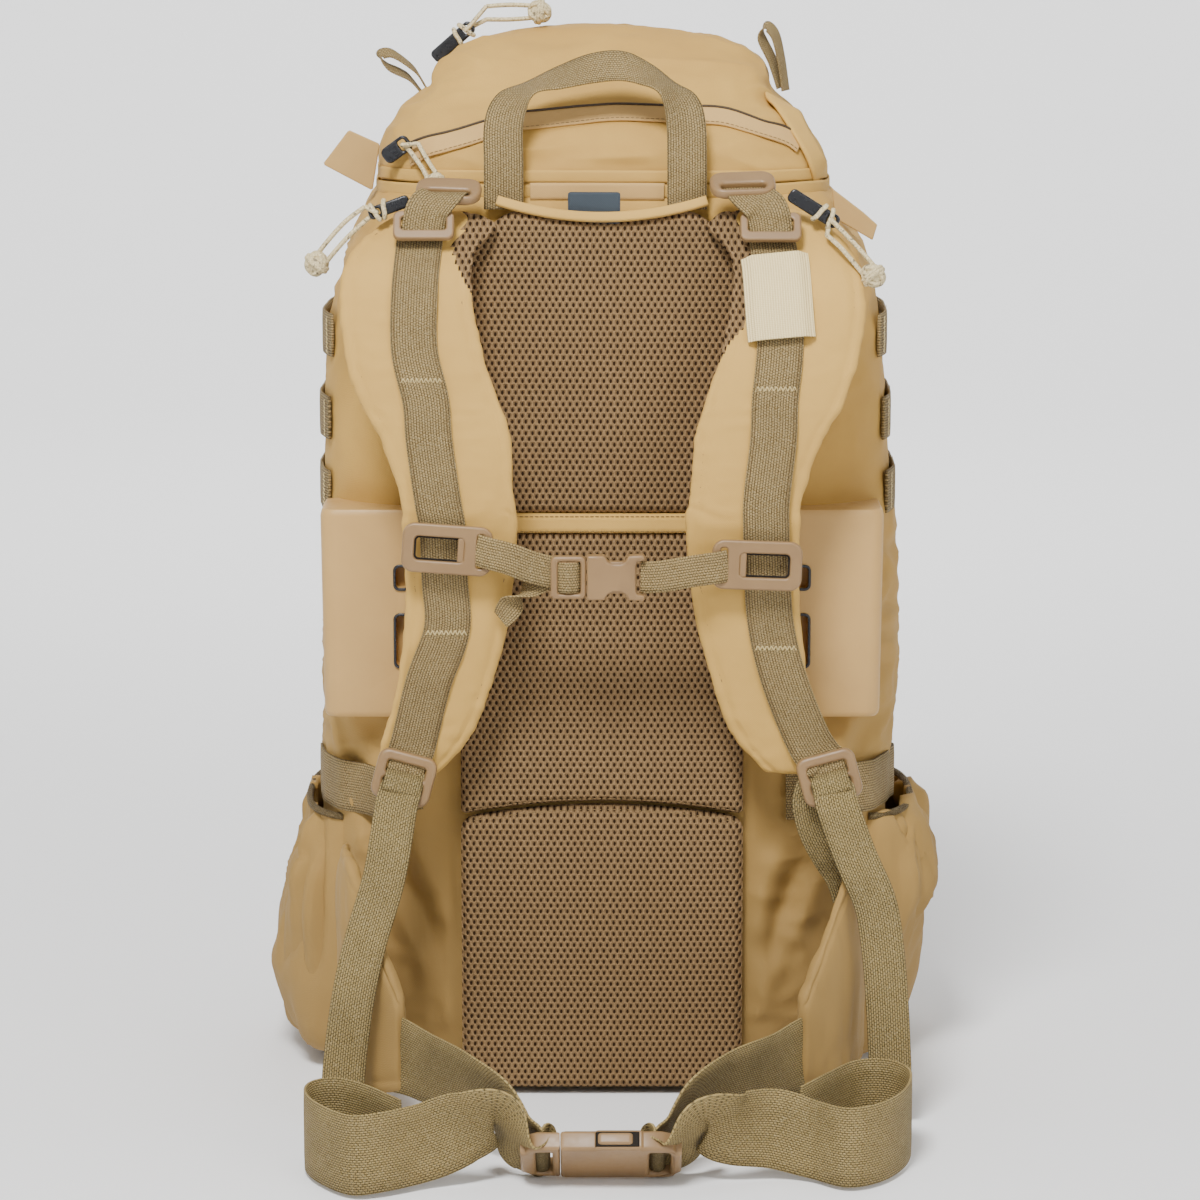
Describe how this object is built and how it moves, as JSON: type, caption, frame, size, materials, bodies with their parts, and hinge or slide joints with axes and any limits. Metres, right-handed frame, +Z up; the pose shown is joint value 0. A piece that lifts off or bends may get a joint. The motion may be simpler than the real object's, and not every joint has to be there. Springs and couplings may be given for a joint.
{
  "type": "hunting backpack",
  "caption": "Framed hunting backpack with hinged lid, zip pulls on cords, mesh back panel, padded shoulder harness, sternum strap, moulded side panels, side pockets and hip belt.",
  "frame": {"origin": "on the floor at the middle of the bag's flat base", "axes": "+Z up the pack; -Y the harness side, which faces the wearer; +X to the right as the harness is looked at. Names ending in left lie at -X and right at +X."},
  "size_m": [0.462, 0.5052, 0.7015],
  "materials": {
    "fabric": "matt woven nylon",
    "spacer_mesh": "open spacer mesh",
    "webbing": "ribbed nylon webbing",
    "moulded_plastic": "satin moulded",
    "black_plastic": "glossy moulded",
    "cord": "braided",
    "elastic": "ribbed elastic",
    "laminate": "smooth laminate",
    "label_cloth": "plain woven",
    "frame_plastic": "moulded sheet",
    "stay_alloy": "brushed"
  },
  "bodies": {
    "pack": {"bag_body": "fabric", "front_pocket": "fabric", "frame_sheet": "frame_plastic", "stay_left": "stay_alloy", "stay_right": "stay_alloy", "back_pad_upper": "spacer_mesh", "back_pad_middle": "spacer_mesh", "lumbar_pad": "spacer_mesh", "side_panel_left": "moulded_plastic", "side_panel_right": "moulded_plastic", "side_pocket_left": "fabric", "side_pocket_right": "fabric", "side_webbing_left": "webbing", "side_webbing_right": "webbing", "compression_strap_left": "webbing", "compression_strap_right": "webbing", "label_tab": "label_cloth", "load_lifter_buckle_left": "moulded_plastic", "load_lifter_buckle_right": "moulded_plastic", "adjuster_strap_left": "webbing", "adjuster_strap_right": "webbing"},
    "lid": {"lid_shell": "fabric", "side_tab_left": "laminate", "side_tab_right": "laminate", "lash_loop_left": "webbing", "lash_loop_right": "webbing"},
    "handle": {"grab_handle": "webbing"},
    "dome_zip": {"zip_pull_dome": "black_plastic", "pull_cord_dome": "cord"},
    "band_zip": {"zip_pull_band": "black_plastic", "pull_cord_band": "cord"},
    "main_zip_left": {"zip_pull_main_left": "black_plastic", "pull_cord_main_left": "cord"},
    "main_zip_right": {"zip_pull_main_right": "black_plastic", "pull_cord_main_right": "cord"},
    "harness": {"shoulder_pad_left": "fabric", "shoulder_pad_right": "fabric", "shoulder_webbing_left": "webbing", "shoulder_webbing_right": "webbing", "shoulder_triglide_left": "moulded_plastic", "shoulder_triglide_right": "moulded_plastic", "load_lifter_strap_left": "webbing", "load_lifter_strap_right": "webbing"},
    "keeper": {"elastic_keeper": "elastic"},
    "lock_left": {"ladderlock_left": "moulded_plastic"},
    "lock_right": {"ladderlock_right": "moulded_plastic"},
    "sternum": {"sternum_slider_left": "moulded_plastic", "sternum_slider_right": "moulded_plastic", "sternum_strap_left": "webbing", "sternum_strap_right": "webbing", "sternum_socket": "moulded_plastic"},
    "sternum_clip": {"sternum_plug": "moulded_plastic"},
    "belt": {"hip_wing_left": "fabric", "hip_wing_right": "fabric", "belt_webbing_left": "webbing", "belt_webbing_right": "webbing", "waist_socket": "moulded_plastic"},
    "waist_clip": {"waist_plug": "moulded_plastic"}
  },
  "joints": [
    {"name": "lid_hinge", "type": "hinge", "parent": "pack", "child": "lid", "pos_m": [0, 0.122, 0.59], "axis": [-1, 0, 0], "range_deg": [0, 100]},
    {"name": "handle_hinge", "type": "hinge", "parent": "pack", "child": "handle", "pos_m": [-0.004, -0.1245, 0.578], "axis": [1, 0, 0], "range_deg": [0, 70]},
    {"name": "dome_zip_run", "type": "slide", "parent": "lid", "child": "dome_zip", "axis": [0, 1, 0], "range_m": [0, 0.05], "deforming": ["pull_cord_dome"]},
    {"name": "band_zip_run", "type": "slide", "parent": "lid", "child": "band_zip", "axis": [0.9375, -0.2109, 0.2768], "range_m": [0, 0.07], "deforming": ["pull_cord_band"]},
    {"name": "main_zip_left_run", "type": "slide", "parent": "pack", "child": "main_zip_left", "axis": [-0.7071, 0.7071, 0], "range_m": [0, 0.05], "deforming": ["pull_cord_main_left"]},
    {"name": "main_zip_right_run", "type": "slide", "parent": "pack", "child": "main_zip_right", "axis": [1, 0, 0], "range_m": [0, 0.04], "deforming": ["pull_cord_main_right"]},
    {"name": "harness_swing", "type": "hinge", "parent": "pack", "child": "harness", "pos_m": [0, -0.147, 0.566], "axis": [-1, 0, 0], "range_deg": [0, 18], "deforming": ["adjuster_strap_left", "adjuster_strap_right", "load_lifter_strap_left", "load_lifter_strap_right"]},
    {"name": "keeper_slide", "type": "slide", "parent": "harness", "child": "keeper", "axis": [0, 0.5, 0.866], "range_m": [-0.02, 0.008]},
    {"name": "ladderlock_left_tilt", "type": "hinge", "parent": "harness", "child": "lock_left", "pos_m": [-0.1214, -0.1783, 0.2334], "axis": [-0.9564, 0, 0.2921], "range_deg": [0, 35]},
    {"name": "ladderlock_right_tilt", "type": "hinge", "parent": "harness", "child": "lock_right", "pos_m": [0.147, -0.1783, 0.2329], "axis": [-0.9564, 0, -0.2921], "range_deg": [0, 35]},
    {"name": "sternum_height", "type": "slide", "parent": "harness", "child": "sternum", "axis": [0, 0, 1], "range_m": [-0.03, 0.04]},
    {"name": "sternum_release", "type": "slide", "parent": "sternum", "child": "sternum_clip", "axis": [-1, 0, 0], "range_m": [0, 0.03], "deforming": ["sternum_strap_left"]},
    {"name": "belt_lift", "type": "hinge", "parent": "pack", "child": "belt", "pos_m": [0, -0.118, 0.172], "axis": [-1, 0, 0], "range_deg": [0, 20], "deforming": ["belt_webbing_right"]},
    {"name": "waist_release", "type": "slide", "parent": "belt", "child": "waist_clip", "axis": [-1, 0, 0], "range_m": [0, 0.05], "deforming": ["belt_webbing_left"]}
  ]
}
